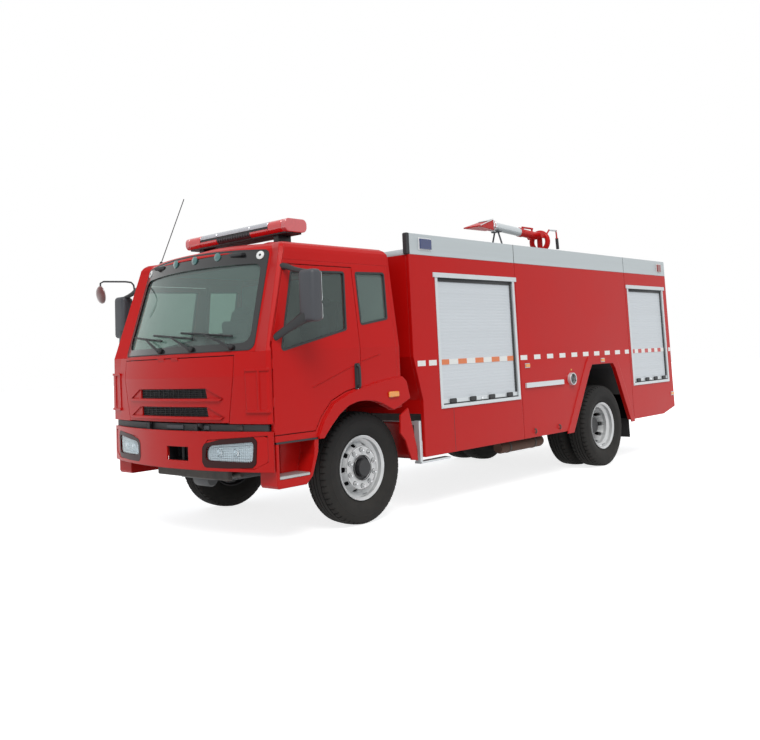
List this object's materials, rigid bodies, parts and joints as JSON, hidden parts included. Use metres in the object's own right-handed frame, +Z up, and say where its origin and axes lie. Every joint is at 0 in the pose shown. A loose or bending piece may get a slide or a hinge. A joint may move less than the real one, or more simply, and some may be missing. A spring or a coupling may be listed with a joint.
{
  "type": "fire rescue truck",
  "caption": "Fire rescue truck with a tilting cab, hinged doors, steered front wheels, an equipment body with roller shutters and a swivelling water monitor on the roof.",
  "frame": {"origin": "on the ground, below the centre of the overall box", "axes": "-Y is the truck's front, +X its left side, +Z up"},
  "size_m": [3.17, 8.1799, 3.3959],
  "materials": {
    "paint_red": "gloss",
    "aluminium": "satin",
    "wheel_silver": "satin",
    "tyre": "matt",
    "chassis_grey": "matt",
    "engine_iron": "matt",
    "black_plastic": "matt",
    "tank_plastic": "matt",
    "rubber": "matt",
    "seat_fabric": "woven",
    "glass": "clear",
    "lamp_clear": "clear",
    "lamp_red": "gloss",
    "lamp_blue": "gloss",
    "lamp_amber": "gloss",
    "monitor_metal": "satin"
  },
  "bodies": {
    "chassis": {"front_axle": "chassis_grey", "rear_axle": "chassis_grey", "chassis_frame": "chassis_grey", "engine_block": "engine_iron", "propeller_shaft": "chassis_grey", "fuel_tank": "aluminium", "front_bumper": "paint_red", "headlamps": "black_plastic", "headlamp_lenses": "lamp_clear", "entry_steps": "black_plastic", "front_mudguards": "black_plastic", "body_side_left": "paint_red", "body_side_right": "paint_red", "body_front_wall": "paint_red", "body_rear_wall": "paint_red", "body_floor": "chassis_grey", "water_tank": "tank_plastic", "body_roof": "aluminium", "top_rails": "aluminium", "roller_shutters": "aluminium", "shutter_frames": "aluminium", "side_fittings": "aluminium", "lamps_blue": "lamp_blue", "lamps_red": "lamp_red", "lamps_amber": "lamp_amber", "mud_flaps": "rubber", "rear_ladder": "aluminium", "monitor_base": "monitor_metal"},
    "cab": {"cab_front": "paint_red", "cab_roof": "paint_red", "cab_rear_wall": "paint_red", "cab_side_left": "paint_red", "cab_side_right": "paint_red", "cab_windows": "glass", "cab_floor": "black_plastic", "dashboard": "black_plastic", "seats": "seat_fabric", "wipers": "black_plastic", "light_bar": "lamp_red", "aerial": "black_plastic"},
    "door_left": {"door_left": "paint_red", "door_glass_left": "glass", "mirror_left": "black_plastic"},
    "door_right": {"door_right": "paint_red", "door_glass_right": "glass", "mirror_right": "black_plastic"},
    "front_lid": {"front_lid": "paint_red"},
    "knuckle_left": {"knuckle_left": "chassis_grey"},
    "knuckle_right": {"knuckle_right": "chassis_grey"},
    "front_wheel_left": {"front_wheel_left": "wheel_silver", "front_tyre_left": "tyre"},
    "front_wheel_right": {"front_wheel_right": "wheel_silver", "front_tyre_right": "tyre"},
    "rear_wheel_left": {"rear_wheels_left": "wheel_silver", "rear_tyres_left": "tyre"},
    "rear_wheel_right": {"rear_wheels_right": "wheel_silver", "rear_tyres_right": "tyre"},
    "monitor_swivel": {"monitor_swivel": "monitor_metal"},
    "monitor_barrel": {"monitor_barrel": "monitor_metal"}
  },
  "joints": [
    {"name": "cab_tilt", "type": "hinge", "parent": "chassis", "child": "cab", "pos_m": [0, -4.02, 1.03], "axis": [1, 0, 0], "range_deg": [0, 45]},
    {"name": "door_left_hinge", "type": "hinge", "parent": "cab", "child": "door_left", "pos_m": [1.238, -3.8545, 1.6], "axis": [0, 0, -1], "range_deg": [0, 65]},
    {"name": "door_right_hinge", "type": "hinge", "parent": "cab", "child": "door_right", "pos_m": [-1.238, -3.8545, 1.6], "axis": [0, 0, 1], "range_deg": [0, 65]},
    {"name": "front_lid_hinge", "type": "hinge", "parent": "cab", "child": "front_lid", "pos_m": [0, -4.062, 1.6285], "axis": [-1, 0, 0], "range_deg": [0, 70]},
    {"name": "steer_left", "type": "hinge", "parent": "chassis", "child": "knuckle_left", "pos_m": [0.85, -2.66, 0.527], "axis": [0, 0, 1], "range_deg": [-35, 35]},
    {"name": "steer_right", "type": "hinge", "parent": "chassis", "child": "knuckle_right", "pos_m": [-0.85, -2.66, 0.527], "axis": [0, 0, 1], "range_deg": [-35, 35]},
    {"name": "front_wheel_left_roll", "type": "hinge", "parent": "knuckle_left", "child": "front_wheel_left", "pos_m": [0.985, -2.66, 0.527], "axis": [1, 0, 0], "continuous": true},
    {"name": "front_wheel_right_roll", "type": "hinge", "parent": "knuckle_right", "child": "front_wheel_right", "pos_m": [-0.985, -2.66, 0.527], "axis": [1, 0, 0], "continuous": true},
    {"name": "rear_wheel_left_roll", "type": "hinge", "parent": "chassis", "child": "rear_wheel_left", "pos_m": [0.925, 1.84, 0.527], "axis": [1, 0, 0], "continuous": true},
    {"name": "rear_wheel_right_roll", "type": "hinge", "parent": "chassis", "child": "rear_wheel_right", "pos_m": [-0.925, 1.84, 0.527], "axis": [1, 0, 0], "continuous": true},
    {"name": "monitor_pan", "type": "hinge", "parent": "chassis", "child": "monitor_swivel", "pos_m": [0, 2.54, 2.96], "axis": [0, 0, 1], "range_deg": [-120, 120]},
    {"name": "monitor_elevation", "type": "hinge", "parent": "monitor_swivel", "child": "monitor_barrel", "pos_m": [0, 2.428, 3.25], "axis": [-1, 0, 0], "range_deg": [0, 45]}
  ],
  "couplings": [
    {"joint": "steer_right", "follows": "steer_left", "ratio": 1}
  ]
}
